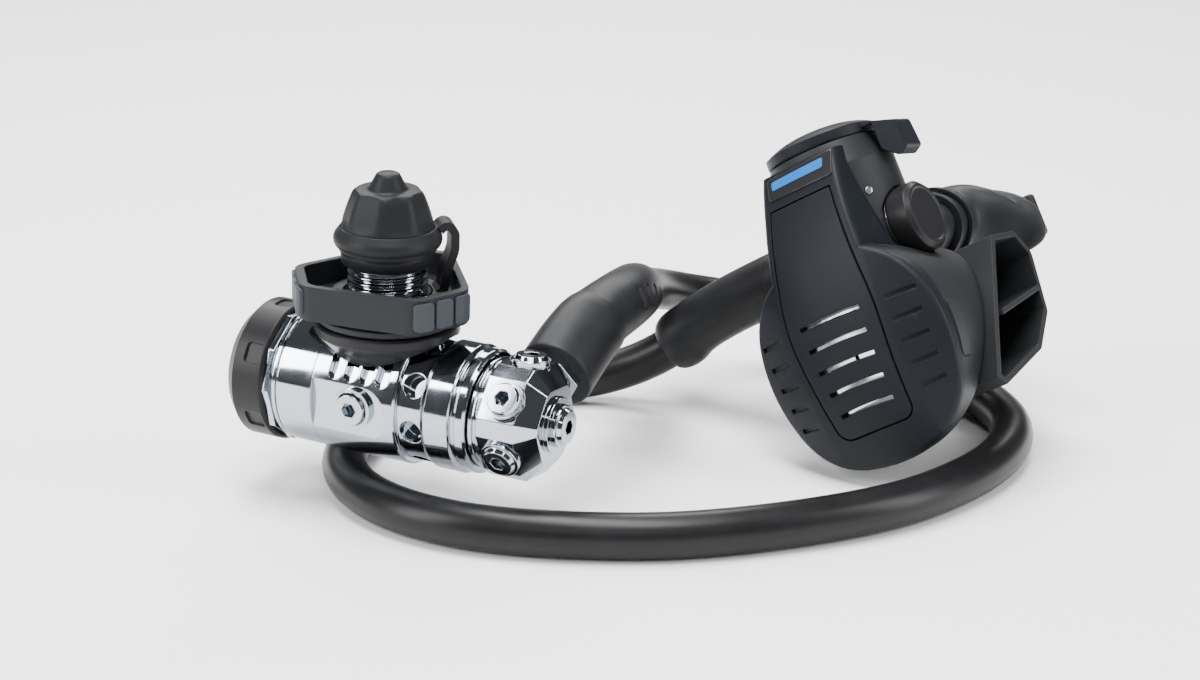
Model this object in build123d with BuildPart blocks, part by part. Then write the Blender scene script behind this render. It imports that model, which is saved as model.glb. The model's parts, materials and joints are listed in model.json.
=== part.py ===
from build123d import *
import math
import os

os.makedirs("parts", exist_ok=True)

# Scuba regulator set in millimetres: a diaphragm first stage with a DIN inlet and a swivelling
# turret, one low-pressure hose, and a demand second stage with its mouthpiece.
# +Z up, origin on the ground under the middle of the two stages.
#
# Each stage is built in a frame of its own:
#   first stage   X along the body towards the turret, Z up the DIN inlet, origin where they cross
#   second stage  X along the valve barrel towards the knob, Z up the head, Y back to the mouth

# ---------------------------------------------------------------- places of the two stages
ground_shift = (-17.31, -17.77, -0.09)
first_origin = (-60.8 + ground_shift[0], -24.0 + ground_shift[1], 33.2 + ground_shift[2])
second_origin = (78.0 + ground_shift[0], 22.7 + ground_shift[1], 62.7 + ground_shift[2])
first_stage = Plane(origin=first_origin, x_dir=(0.898, -0.438, -0.037), z_dir=(0.033, -0.016, 0.999))
second_stage = Plane(origin=second_origin, x_dir=(0.738, -0.441, 0.511), z_dir=(-0.350, 0.397, 0.849))
on_first = first_stage.location
on_second = second_stage.location

# ---------------------------------------------------------------- driving dimensions
body_r = 19.2            # first-stage body, turned diameter 38.4
cap_r = 20.2             # black cap on the spring end
cap_start = -43.0
cap_end = -29.7
housing_end = -13.9      # seam between spring housing and body
block_end = 13.1         # end of the full-diameter block, start of the drilled neck
flange_start = 22.3
body_end = 34.5          # swivel face of the turret
turret_start = 34.9
port_x = 45.0            # low-pressure ports round the turret
turret_flat = 15.9       # turret centre to port flat
hose_port_angle = 156.0  # above the horizontal, counted from the front

din_r = 11.45            # G 5/8 thread, outside radius
wheel_floor = 25.0
wheel_top = 35.0
wheel_flat = 20.9        # handwheel centre to long flat
wheel_corner = 27.2
long_flat_angle = -82.6  # direction that one long flat of the wheel faces

hose_r = 6.5             # low-pressure hose, 13 mm outside
sleeve_r = 9.2           # rubber hose protector

head_r = 19.5            # second-stage head
head_top = 29.6
rim_y = -22.0            # joint between second-stage case and cover
wall = 2.2               # moulded walls of the second stage
barrel_r = 8.0
knob_r = 10.7
mouth_y = 44.0           # middle of the mouthpiece tie


def keep(piece, name, place=Location()):
    """Stand a finished piece at its place in the set and write it under its name."""
    placed = piece.part.moved(place)
    placed.label = name
    export_step(placed, f"parts/{name}.step")


def ring_profile(points):
    """A closed half profile of a turned piece, in the sketch's own coordinates."""
    Polygon(*points, align=None)


def radial_plane(x, angle, radius):
    """A plane facing out of a turned body: angle above the horizontal, counted from the front."""
    turn = math.radians(angle)
    outward = (0, -math.cos(turn), math.sin(turn))
    return Plane(origin=(x, outward[1] * radius, outward[2] * radius), x_dir=(1, 0, 0), z_dir=outward)


# ================================================================ first stage: spring end

# End cap: an octagonal moulded cap with worn-off corners and six grip lands, open in the middle
cap_window_r = 11.0
with BuildPart() as end_cap:
    with BuildSketch(Plane.XY):
        ring_profile([(cap_end, 17.6), (cap_end, cap_r - 0.8), (cap_end - 0.8, cap_r), (-39.5, cap_r),
                      (cap_start, 16.8), (cap_start, cap_window_r), (-41.2, cap_window_r),
                      (-41.2, 17.4), (-38.0, 17.6)])
    revolve(axis=Axis.X)
    with BuildSketch(Plane.YZ.offset(cap_start)):
        RegularPolygon(radius=cap_r + 0.35, side_count=8, major_radius=False, rotation=22.5)
    extrude(amount=cap_end - cap_start, mode=Mode.INTERSECT)
    for side in range(6):
        with BuildSketch(radial_plane(-33.6, 30 + 60 * side, cap_r - 0.7)):
            RectangleRounded(5.4, 6.0, 1.2)
        extrude(amount=4, mode=Mode.SUBTRACT)
keep(end_cap, "end_cap", on_first)

# Outer diaphragm: rubber disc that closes the dry chamber
with BuildPart() as outer_diaphragm:
    with BuildSketch(Plane.XY):
        ring_profile([(-41.2, 0), (-41.2, 6), (-40.6, 8), (-40.6, 10), (-41.2, 11.5), (-41.2, 17.2),
                      (-40.0, 17.2), (-40.0, 0)])
    revolve(axis=Axis.X)
keep(outer_diaphragm, "outer_diaphragm", on_first)

# Spring housing: chromed shell with a ten-sided spanner ring behind the cap
with BuildPart() as spring_housing:
    with BuildSketch(Plane.XY):
        ring_profile([(-40.0, 13.6), (-40.0, 17.2), (-29.5, 17.2), (-29.5, 18.6), (-27.9, 18.6),
                      (-27.9, 17.9), (-27.0, 17.9), (-27.0, 18.9), (-25.9, 18.9), (-25.9, 18.2),
                      (-25.2, 18.2), (-25.2, body_r), (housing_end, body_r), (housing_end, 16.3),
                      (-15.9, 16.3), (-15.9, 13.6)])
    revolve(axis=Axis.X)
    with BuildSketch(Plane.YZ.offset(-29.6)):
        RegularPolygon(radius=18.7, side_count=10, major_radius=False)
        Circle(17.0, mode=Mode.SUBTRACT)
    extrude(amount=1.9)
keep(spring_housing, "spring_housing", on_first)

# Load transmitter: passes the water pressure from the outer to the main diaphragm
with BuildPart() as load_transmitter:
    with BuildSketch(Plane.XY):
        ring_profile([(-39.9, 0), (-39.9, 10.5), (-38.0, 10.5), (-37.4, 4.2), (-20.4, 4.2), (-20.4, 0)])
    revolve(axis=Axis.X)
keep(load_transmitter, "load_transmitter", on_first)

# Adjusting ring: screws into the housing and loads the main spring; four spanner slots
with BuildPart() as adjusting_ring:
    with BuildSketch(Plane.YZ.offset(-36.4)):
        Circle(13.5)
        Circle(4.7, mode=Mode.SUBTRACT)
        with PolarLocations(12.2, 4):
            Rectangle(3.4, 2.6, mode=Mode.SUBTRACT)
    extrude(amount=3.6)
keep(adjusting_ring, "adjusting_ring", on_first)


def coil_spring(start, end, coil_r, wire_r, turns):
    """A coil spring on X between two faces, its turns drawn as closed rings on a thin core."""
    pitch = (end - start - 2 * wire_r) / (turns - 1)
    with BuildSketch(Plane.XY) as section:
        for turn in range(turns):
            with Locations((start + wire_r + turn * pitch, coil_r)):
                Circle(wire_r)
        with Locations(((start + end) / 2, coil_r)):
            Rectangle(end - start - 2 * wire_r, wire_r)
    revolve(section.sketch, axis=Axis.X)


with BuildPart() as main_spring:
    coil_spring(-32.7, -20.5, 9.0, 1.5, 5)
keep(main_spring, "main_spring", on_first)

# Spring pad: dished plate between the main spring and the main diaphragm
with BuildPart() as spring_pad:
    with BuildSketch(Plane.XY):
        ring_profile([(-20.3, 0), (-20.3, 11.0), (-18.9, 11.0), (-18.9, 6.0), (-16.1, 6.0), (-16.1, 0)])
    revolve(axis=Axis.X)
keep(spring_pad, "spring_pad", on_first)

with BuildPart() as main_diaphragm:
    with BuildSketch(Plane.YZ.offset(-15.9)):
        Circle(16.2)
    extrude(amount=2.0)
keep(main_diaphragm, "main_diaphragm", on_first)

# Lifter: mushroom under the diaphragm whose pin opens the high-pressure valve
with BuildPart() as lifter:
    with BuildSketch(Plane.XY):
        ring_profile([(-13.8, 0), (-13.8, 8.0), (-12.6, 8.0), (-12.6, 2.5), (-11.0, 1.2), (-2.4, 1.2),
                      (-2.4, 0)])
    revolve(axis=Axis.X)
keep(lifter, "lifter", on_first)

# ================================================================ first stage: body

neck_r = 17.6
flange_r = 18.5
spigot_r = 9.05
front_flat_y = 17.5
plug_x = -0.5
window_angle = 36.0

with BuildPart() as first_stage_body:
    with BuildSketch(Plane.XY):
        ring_profile([(housing_end, 13.0), (housing_end, body_r), (block_end - 0.6, body_r),
                      (block_end, body_r - 0.6), (block_end, neck_r), (20.8, neck_r), (flange_start, flange_r),
                      (29.6, flange_r), (30.3, 17.2), (31.2, 17.2), (31.6, 17.8), (33.8, 17.8),
                      (body_end, 17.0), (body_end, spigot_r), (41.0, spigot_r), (41.0, 5.0), (27.0, 5.0),
                      (27.0, 6.2), (10.0, 6.2), (10.0, 5.0), (-6.0, 5.0), (-6.0, 2.0), (-10.0, 2.0),
                      (-10.0, 13.0)])
    revolve(axis=Axis.X)
    # inlet boss under the handwheel
    with BuildSketch(Plane.XY.offset(14.0)):
        Circle(12.5)
    extrude(amount=7.4)
    with BuildSketch(Plane.XY.offset(4.5)):
        Circle(7.85)
    extrude(amount=18.0, mode=Mode.SUBTRACT)
    # gas bore stays open along the body
    with BuildSketch(Plane.YZ.offset(-6.0)):
        Circle(5.0)
    extrude(amount=33.0, mode=Mode.SUBTRACT)
    # milled front face with a round end, carrying the high-pressure plug
    with BuildSketch(Plane.XZ.offset(front_flat_y)):
        with Locations((-3.0, -1.2)):
            SlotOverall(27.0, 15.5)
        with Locations((-10.0, -1.2)):
            Rectangle(10.0, 15.5)
    extrude(amount=6, mode=Mode.SUBTRACT)
    # high-pressure ports, front and back
    for side in (1, -1):
        with BuildSketch(Plane.XZ.offset(side * 20)):
            with Locations((plug_x, 0)):
                Circle(5.3)
        extrude(amount=-side * 10.5, mode=Mode.SUBTRACT)
    # window of four round-topped cells with three bars between them
    with BuildSketch(radial_plane(0.6, window_angle, body_r + 0.5)):
        with GridLocations(5.0, 0, 4, 1):
            SlotOverall(8.6, 4.1, rotation=90)
    extrude(amount=-2.6, mode=Mode.SUBTRACT)
    # ring of eight blind service holes in the neck
    for hole in range(8):
        with BuildSketch(radial_plane(17.6, -13 + 45 * hole, neck_r + 1)):
            Circle(3.5)
        extrude(amount=-5.0, mode=Mode.SUBTRACT)
    # grooves for the two swivel O-rings
    for groove in (36.2, 38.8):
        with BuildSketch(Plane.XY):
            with Locations((groove, spigot_r)):
                Rectangle(1.7, 2.8)
        revolve(axis=Axis.X, mode=Mode.SUBTRACT)
keep(first_stage_body, "first_stage_body", on_first)

with BuildPart() as swivel_o_rings:
    with BuildSketch(Plane.XY):
        with Locations((36.2, spigot_r - 0.67), (38.8, spigot_r - 0.67)):
            Circle(0.68)
    revolve(axis=Axis.X)
keep(swivel_o_rings, "swivel_o_rings", on_first)

# High-pressure valve: seat crown, poppet, its spring and the balance plug, all in the gas bore
with BuildPart() as valve_seat:
    with BuildSketch(Plane.XY):
        ring_profile([(-5.9, 1.6), (-5.9, 4.9), (-3.2, 4.9), (-3.2, 2.6), (-2.2, 2.0), (-2.2, 1.6)])
    revolve(axis=Axis.X)
keep(valve_seat, "valve_seat", on_first)

with BuildPart() as valve_poppet:
    with BuildSketch(Plane.XY):
        ring_profile([(-2.1, 0), (-2.1, 3.4), (0.2, 3.4), (0.2, 2.0), (9.0, 2.0), (9.0, 0)])
    revolve(axis=Axis.X)
keep(valve_poppet, "valve_poppet", on_first)

with BuildPart() as poppet_spring:
    coil_spring(0.4, 7.8, 3.2, 0.5, 6)
keep(poppet_spring, "poppet_spring", on_first)

with BuildPart() as balance_plug:
    with BuildSketch(Plane.XY):
        ring_profile([(8.0, 2.1), (8.0, 4.9), (14.0, 4.9), (14.0, 0), (10.5, 0), (10.5, 2.1)])
    revolve(axis=Axis.X)
keep(balance_plug, "balance_plug", on_first)


def port_plug(plane, flange, stem, stem_length):
    """A screw plug with a coned face, a hexagon socket and its threaded stem, seated on a plane."""
    with BuildSketch(plane) as flange_face:
        Circle(flange)
    extrude(flange_face.sketch, amount=1.5)
    with BuildSketch(plane.offset(1.5)) as cone_face:
        Circle(flange - 0.9)
    extrude(cone_face.sketch, amount=1.3, taper=25)
    with BuildSketch(plane) as stem_face:
        Circle(stem)
    extrude(stem_face.sketch, amount=-stem_length)
    with BuildSketch(plane.offset(2.8)) as socket_face:
        RegularPolygon(radius=2.0, side_count=6, major_radius=False)
    extrude(socket_face.sketch, amount=-3.6, mode=Mode.SUBTRACT)


with BuildPart() as gauge_plugs:
    port_plug(radial_plane(plug_x, 0, front_flat_y), 5.9, 5.2, 7.5)
    port_plug(radial_plane(plug_x, 180, body_r), 5.9, 5.2, 9.0)
keep(gauge_plugs, "gauge_plugs", on_first)

# ================================================================ DIN inlet

# Black saddle collar between the body and the handwheel
with BuildPart() as inlet_saddle:
    with BuildSketch(Plane.XZ):
        ring_profile([(12.7, 8.0), (14.6, 11.0), (17.6, 15.4), (20.2, 18.0), (20.6, 18.6), (20.6, 20.9),
                      (20.0, 21.5), (12.7, 21.5)])
    revolve(axis=Axis.Z)
    with BuildSketch(Plane.YZ.offset(-25)):
        Circle(body_r + 0.1)
    extrude(amount=50, mode=Mode.SUBTRACT)
keep(inlet_saddle, "inlet_saddle", on_first)

# DIN stem: screwed into the body, with a nose that carries the face O-ring
stem_r = 7.75
nose_r = 10.2
nose_base = 40.5
nose_top = 47.4
with BuildPart() as din_stem:
    with BuildSketch(Plane.XZ):
        ring_profile([(2.5, 5.5), (stem_r, 5.5), (stem_r, nose_base), (nose_r, nose_base),
                      (nose_r, nose_top), (9.0, nose_top), (9.0, nose_top - 1.3), (7.0, nose_top - 1.3),
                      (7.0, nose_top), (5.6, nose_top), (5.6, 35.8), (2.5, 33.8)])
    revolve(axis=Axis.Z)
keep(din_stem, "din_stem", on_first)

with BuildPart() as din_o_ring:
    with BuildSketch(Plane.XZ):
        with Locations((8.0, nose_top - 0.4)):
            Circle(0.85)
    revolve(axis=Axis.Z)
keep(din_o_ring, "din_o_ring", on_first)

with BuildPart() as inlet_filter:
    with BuildSketch(Plane.XZ):
        ring_profile([(0, 37.2), (5.4, 37.2), (5.4, 41.8), (3.0, 44.3), (0, 44.3)])
    revolve(axis=Axis.Z)
keep(inlet_filter, "inlet_filter", on_first)

with BuildPart() as filter_clip:
    with BuildSketch(Plane.XY.offset(44.4)):
        Circle(5.5)
        Circle(3.9, mode=Mode.SUBTRACT)
        with Locations((5.0, 0)):
            Rectangle(4.0, 2.0, mode=Mode.SUBTRACT)
    extrude(amount=1.0)
keep(filter_clip, "filter_clip", on_first)

# Threaded coupling: turns on the stem, held under the nose, with a collar in the handwheel
thread_top = 40.2
with BuildPart() as threaded_coupling:
    with BuildSketch(Plane.XZ):
        ring_profile([(7.85, 21.8), (13.6, 21.8), (13.6, 25.0), (12.4, 25.0), (12.4, 30.0), (din_r, 30.0),
                      (din_r, thread_top - 0.8), (din_r - 0.8, thread_top), (7.85, thread_top)])
    revolve(axis=Axis.Z)
keep(threaded_coupling, "threaded_coupling", on_first)


def wheel_outline(inset=0.0, corner=6.0):
    """The handwheel seen from above: three long flats joined by three short grip sides."""
    half_turn = math.degrees(math.acos(wheel_flat / wheel_corner))
    corners = []
    for side in range(3):
        for turn in (-half_turn, half_turn):
            angle = math.radians(long_flat_angle + 120 * side + turn)
            reach = wheel_corner - inset
            corners.append((reach * math.cos(angle), reach * math.sin(angle)))
    Polygon(*corners, align=None)
    sketch = BuildSketch._get_context()
    fillet(sketch.vertices(), corner)


with BuildPart() as handwheel:
    with BuildSketch(Plane.XY.offset(wheel_floor)):
        wheel_outline()
    extrude(amount=wheel_top - wheel_floor)
    with BuildSketch(Plane.XY.offset(wheel_floor + 3.0)):
        wheel_outline(inset=2.8, corner=4.0)
    extrude(amount=wheel_top, mode=Mode.SUBTRACT)
    with BuildSketch(Plane.XZ):
        ring_profile([(13.7, 22.0), (19.8, 22.0), (20.4, 22.6), (20.4, 23.9), (19.4, 24.3), (19.4, wheel_floor),
                      (13.7, wheel_floor)])
    revolve(axis=Axis.Z)
    with BuildSketch(Plane.XY.offset(wheel_floor)):
        Circle(12.5)
    extrude(amount=8, mode=Mode.SUBTRACT)
keep(handwheel, "handwheel", on_first)

# Grip pads: three raised rubber pads round each short end of the wheel, 0.9 mm proud
pad_proud, pad_size, pad_pitch = 0.9, (5.8, 8.0), 6.6
with BuildPart() as grip_pads:
    with BuildSketch(Plane.XY.offset(wheel_floor + 0.5)):
        wheel_outline(-pad_proud)
    extrude(amount=wheel_top - wheel_floor - 1.0)
    with BuildSketch(Plane.XY.offset(wheel_floor)):
        wheel_outline()
    extrude(amount=wheel_top - wheel_floor, mode=Mode.SUBTRACT)
    with BuildPart(mode=Mode.PRIVATE) as pad_blocks:
        for side in range(3):
            turn = math.radians(long_flat_angle + 60 + 120 * side)
            outward = (math.cos(turn), math.sin(turn), 0)
            with BuildSketch(Plane(origin=(outward[0] * 15, outward[1] * 15, (wheel_floor + wheel_top) / 2),
                                   x_dir=(-outward[1], outward[0], 0), z_dir=outward)):
                with GridLocations(pad_pitch, 0, 3, 1):
                    RectangleRounded(*pad_size, 1.2)
            extrude(amount=20)
    add(pad_blocks.part, mode=Mode.INTERSECT)
keep(grip_pads, "grip_pads", on_first)

# Dust cap: moulded rubber. Bore over the nose, a waist that the tether's ring grips, a slightly
# conical body with eight broad grip flats, a flat top with a rounded edge and a pull nipple
grip_flats = 8
with BuildPart() as dust_cap:
    with BuildSketch(Plane.XZ):
        with BuildLine():
            Polyline((0, 48.4), (10.5, 48.4), (10.5, 40.4), (13.2, 40.4), (13.4, 41.5), (12.9, 41.8),
                     (12.9, 42.2), (13.8, 42.4), (13.8, 43.4), (13.1, 43.6),
                     (13.1, 49.2), (13.3, 49.3), (12.4, 55.6))
            ThreePointArc((12.4, 55.6), (11.7, 57.4), (9.9, 58.1))
            Polyline((9.9, 58.1), (6.4, 57.8), (6.2, 58.5), (5.6, 58.8), (4.3, 62.8))
            ThreePointArc((4.3, 62.8), (3.8, 63.8), (2.7, 64.3))
            Polyline((2.7, 64.3), (0, 64.3), (0, 48.4))
        make_face()
    revolve(axis=Axis.Z)
    # grip flats sunk into the conical body
    for step in range(grip_flats):
        turn = 2 * math.pi * step / grip_flats
        outward = (math.cos(turn), math.sin(turn), 0.14)
        with BuildSketch(Plane(origin=(outward[0] * 12.15, outward[1] * 12.15, 52.7),
                               x_dir=(-outward[1], outward[0], 0), z_dir=outward)):
            Rectangle(8.8, 5.6)
        extrude(amount=2, mode=Mode.SUBTRACT)
keep(dust_cap, "dust_cap", on_first)

# Cap tether: one moulding, a ring round the coupling's collar, a strap and a fat ring round the cap
tether_angle = 40.0
tether_plane = Plane(origin=(0, 0, 0), x_dir=(math.cos(math.radians(tether_angle)),
                     math.sin(math.radians(tether_angle)), 0),
                     z_dir=(math.sin(math.radians(tether_angle)), -math.cos(math.radians(tether_angle)), 0))
with BuildPart() as cap_tether:
    with BuildSketch(Plane.XY.offset(28.1)):
        Circle(15.6)
        Circle(12.7, mode=Mode.SUBTRACT)
    extrude(amount=1.8)
    with BuildSketch(Plane.XZ):
        with BuildLine():
            Polyline((13.35, 48.9), (13.35, 43.7), (14.8, 43.7))
            ThreePointArc((14.8, 43.7), (15.3, 45.2), (14.8, 47.0))
            Line((14.8, 47.0), (13.35, 48.9))
        make_face()
    revolve(axis=Axis.Z)
    with BuildSketch(tether_plane):
        with BuildLine():
            FilletPolyline((13.9, 29.1), (15.6, 30.4), (16.2, 35.6), (18.6, 41.5), (18.6, 46.6), (16.6, 49.8),
                           (14.2, 47.6), radius=(1.8, 14.0, 10.0, 3.0, 1.7))
        trace(line_width=2.4)
    extrude(amount=3.6, both=True)
keep(cap_tether, "cap_tether", on_first)

# ================================================================ turret

port_angles = (36.0, 96.0, -24.0)
with BuildPart() as turret:
    with BuildSketch(Plane.YZ.offset(38.0)):
        RegularPolygon(radius=turret_flat, side_count=6, major_radius=False, rotation=54)
        RegularPolygon(radius=turret_flat + 1.0, side_count=6, major_radius=False, rotation=24,
                       mode=Mode.INTERSECT)
    extrude(amount=11.5)
    with BuildSketch(Plane.YZ.offset(49.5)):
        RegularPolygon(radius=turret_flat, side_count=6, major_radius=False, rotation=54)
        RegularPolygon(radius=turret_flat + 1.0, side_count=6, major_radius=False, rotation=24,
                       mode=Mode.INTERSECT)
    extrude(amount=4.6, taper=50)
    with BuildSketch(Plane.XY):
        ring_profile([(turret_start, 0), (turret_start, 16.0), (35.9, 16.0), (36.3, 15.3), (36.9, 15.3),
                      (37.2, 15.9), (38.0, 15.9), (38.0, 0)])
    revolve(axis=Axis.X)
    with BuildSketch(Plane.YZ.offset(50.0)):
        Circle(8.0)
    extrude(amount=5.4)
    # bore over the spigot, bolt seat, gas chamber and axial port
    with BuildSketch(Plane.XY):
        ring_profile([(turret_start - 1, 0), (turret_start - 1, spigot_r + 0.07), (41.3, spigot_r + 0.07),
                      (41.3, 5.1), (43.0, 5.1), (43.0, 8.6), (50.6, 8.6), (50.6, 5.3), (56, 5.3), (56, 0)])
    revolve(axis=Axis.X, mode=Mode.SUBTRACT)
    for angle in port_angles + (hose_port_angle,):
        with BuildSketch(radial_plane(port_x, angle, turret_flat + 2)):
            Circle(5.3)
        extrude(amount=-12, mode=Mode.SUBTRACT)
keep(turret, "turret", on_first)

with BuildPart() as lp_plugs:
    for angle in port_angles:
        port_plug(radial_plane(port_x, angle, turret_flat), 5.7, 5.2, 6.0)
keep(lp_plugs, "lp_plugs", on_first)

with BuildPart() as axial_plug:
    port_plug(Plane(origin=(55.4, 0, 0), x_dir=(0, 1, 0), z_dir=(1, 0, 0)), 6.1, 5.2, 4.5)
keep(axial_plug, "axial_plug", on_first)

# Swivel bolt: screwed into the body, its head holds the turret on
with BuildPart() as swivel_bolt:
    with BuildSketch(Plane.XY):
        ring_profile([(30.0, 0), (30.0, 4.95), (43.1, 4.95), (43.1, 7.4), (46.6, 7.4), (47.0, 7.0), (47.0, 0)])
    revolve(axis=Axis.X)
    with BuildSketch(Plane.YZ.offset(47.0)):
        RegularPolygon(radius=3.0, side_count=6, major_radius=False)
    extrude(amount=-4.0, mode=Mode.SUBTRACT)
    with BuildSketch(Plane.YZ.offset(30.0)):
        Circle(2.4)
    extrude(amount=13.1, mode=Mode.SUBTRACT)
keep(swivel_bolt, "swivel_bolt", on_first)

# ================================================================ hose

hose_start = 26.0        # end face of the fitting, from the turret's axis
hose_end = 31.0          # end face of the second-stage nut, from the head's axis


def first_stage_point(x, y, z):
    return first_stage.from_local_coords(Vector(x, y, z))


def second_stage_point(x, y, z):
    return second_stage.from_local_coords(Vector(x, y, z))


def port_point(reach):
    turn = math.radians(hose_port_angle)
    return first_stage_point(port_x, -math.cos(turn) * reach, math.sin(turn) * reach)


floor_z = hose_r - ground_shift[2]
shift = Vector(*ground_shift)
hose_route = [port_point(hose_start), port_point(hose_start + 15.0)] + [Vector(*point) + shift for point in (
    (7.6, 8.6, 50.2),
    (11.8, 34.0, 45.3),
    (18.0, 59.0, 37.8),
    (32.5, 78.0, 29.4),
    (56.0, 86.5, 23.5),
    (81.5, 82.0, 16.5),
    (104.5, 66.0, 9.5),
    (121.5, 43.5, floor_z),
    (127.3, 15.2, floor_z),
    (117.6, -13.0, floor_z),
    (94.3, -38.9, floor_z),
    (70.9, -53.4, floor_z),
    (35.6, -65.6, floor_z),
    (8.2, -69.1, floor_z),
    (-27.2, -65.2, floor_z),
    (-50.4, -55.0, floor_z),
    (-67.6, -38.1, floor_z),
    (-76.2, -15.6, floor_z),
    (-74.1, 8.4, floor_z),
    (-59.5, 33.4, floor_z),
    (-45.4, 45.4, floor_z),
    (-18.3, 56.2, floor_z),
    (3.3, 56.4, 9.4),
    (22.3, 52.1, 19.3),
)] + [second_stage_point(-58.0, 0, 0), second_stage_point(-hose_end, 0, 0)]


def bend_radii(route):
    """One radius for each corner: 0.45 of its shorter run, over the tangent of half the turn."""
    radii = []
    for before, corner, after in zip(route, route[1:], route[2:]):
        turn = (corner - before).get_angle(after - corner)
        run = min((corner - before).length, (after - corner).length)
        radii.append(0.45 * run / math.tan(math.radians(turn / 2)))
    return radii


hose_radii = bend_radii(hose_route)
print("hose bend radii", [round(radius, 1) for radius in hose_radii])

with BuildPart() as hose:
    with BuildLine() as hose_path:
        FilletPolyline(*hose_route, radius=hose_radii)
    with BuildSketch(Plane(origin=hose_path.line @ 0, z_dir=hose_path.line % 0)):
        Circle(hose_r)
    sweep(path=hose_path.line)
hose_length = sum(edge.length for edge in hose_path.edges())
print("hose length", round(hose_length, 1), "and volume over section times length",
      round(hose.part.volume / (math.pi * hose_r**2 * hose_length), 4))
keep(hose, "hose")

# Hose fitting in the turret: stem, hexagon and crimped collar
hose_port = radial_plane(port_x, hose_port_angle, turret_flat)
with BuildPart() as hose_fitting:
    with BuildSketch(hose_port):
        Circle(5.2)
    extrude(amount=-6.0)
    with BuildSketch(hose_port):
        RegularPolygon(radius=7.1, side_count=6, major_radius=False)
    extrude(amount=5.0)
    with BuildSketch(hose_port.offset(5.0)):
        Circle(7.6)
    extrude(amount=hose_start - turret_flat - 5.0)
    with BuildSketch(hose_port.offset(-6.0)):
        Circle(2.4)
    extrude(amount=hose_start - turret_flat + 6.0, mode=Mode.SUBTRACT)
keep(hose_fitting, "hose_fitting", on_first)

# Hose protector at the first stage: a flared rubber base, then a sleeve that follows the bend
bore_r = hose_r + 0.15
sleeve_tip = hose_route[2] + (hose_route[3] - hose_route[2]) * 0.52
with BuildPart() as first_sleeve:
    with BuildLine() as first_sleeve_path:
        FilletPolyline(*hose_route[:3], sleeve_tip, radius=hose_radii[:2])
    base = Plane(origin=port_point(hose_start), z_dir=first_sleeve_path.line % 0)
    with BuildSketch(base):
        Circle(sleeve_r)
    sweep(path=first_sleeve_path.line)
    with BuildSketch(base):
        Circle(sleeve_r + 0.6)
    extrude(amount=-7.8, taper=-9)
    with BuildSketch(base):
        Circle(sleeve_r + 0.6)
    extrude(amount=7, taper=4.8)
    with BuildSketch(base.offset(-9)):
        Circle(8.5)
    extrude(amount=9, mode=Mode.SUBTRACT)
    with BuildSketch(base):
        Circle(bore_r)
    sweep(path=first_sleeve_path.line, mode=Mode.SUBTRACT)
keep(first_sleeve, "first_sleeve")

# Hose protector at the second stage
second_sleeve_start = 32.0
sleeve_back = hose_route[-3] + (hose_route[-2] - hose_route[-3]) * 0.5
with BuildPart() as second_sleeve:
    with BuildLine() as second_sleeve_path:
        FilletPolyline(second_stage_point(-second_sleeve_start, 0, 0), hose_route[-2], sleeve_back,
                       radius=hose_radii[-1])
    sleeve_mouth = Plane(origin=second_sleeve_path.line @ 0, z_dir=second_sleeve_path.line % 0)
    with BuildSketch(sleeve_mouth):
        Circle(sleeve_r)
    sweep(path=second_sleeve_path.line)
    with BuildSketch(sleeve_mouth):
        Circle(bore_r)
    sweep(path=second_sleeve_path.line, mode=Mode.SUBTRACT)
keep(second_sleeve, "second_sleeve")

# Swivel nut that holds the hose on the second stage
with BuildPart() as hose_nut:
    with BuildSketch(Plane.YZ.offset(-hose_end)):
        RegularPolygon(radius=8.6, side_count=6, major_radius=False)
    extrude(amount=8.6)
    with BuildSketch(Plane.YZ.offset(-28.0)):
        Circle(6.8)
    extrude(amount=8, mode=Mode.SUBTRACT)
    with BuildSketch(Plane.YZ.offset(-hose_end)):
        Circle(2.5)
    extrude(amount=8, mode=Mode.SUBTRACT)
keep(hose_nut, "hose_nut", on_second)

# ================================================================ second stage: case and cover


pear_arcs = [((12.4, -2.4), (23.8, -9.4), (30.0, -20.5)), ((30.0, -20.5), (31.5, -32.0), (29.4, -46.0)),
             ((29.4, -46.0), (22.4, -58.4), (9.0, -65.0))]     # right side, from the shoulder down
pear_foot = -65.9


def pear_outline(inset=0.0):
    """Front outline of the second stage below the head, in the XZ plane, narrow end up."""
    with BuildLine() as edge:
        for hand in (1, -1):
            for arc in pear_arcs:
                ThreePointArc(*[(hand * x, z) for x, z in arc])
        (foot_x, foot_z), (top_x, top_z) = pear_arcs[-1][-1], pear_arcs[0][0]
        ThreePointArc((foot_x, foot_z), (0, pear_foot), (-foot_x, foot_z))
        Line((top_x, top_z), (-top_x, top_z))
    make_face(edge.edges())
    if inset:
        offset(amount=-inset, kind=Kind.INTERSECTION, mode=Mode.REPLACE)


back_y = 19.0
head_cone_z, head_top_r = 22.0, 17.3
slope_top = (19.0, -11.0)
slope_foot = (-10.0, -52.0)
slope_angle = math.degrees(math.atan2(slope_foot[1] - slope_top[1], slope_foot[0] - slope_top[0]))
back_slope = Plane(origin=(0, *slope_top), x_dir=(1, 0, 0),
                   z_dir=(0, -(slope_foot[1] - slope_top[1]), slope_foot[0] - slope_top[0]))


def hood_outline(inset=0.0):
    """Side outline of the exhaust tee's hood, its back corners rounded."""
    Polygon(*tee_outline, align=None)
    fillet([corner for corner in BuildSketch._get_context().vertices() if corner.X > 20], tee_corner_r)
    if inset:
        offset(amount=-inset, kind=Kind.INTERSECTION, mode=Mode.REPLACE)


def lower_case(inset):
    """The pear-shaped lower case, drawn in towards the back."""
    with BuildSketch(Plane.XZ.offset(-rim_y)) as rim:
        pear_outline(inset)
    extrude(rim.sketch, amount=-(back_y - rim_y - inset), taper=7)


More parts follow.
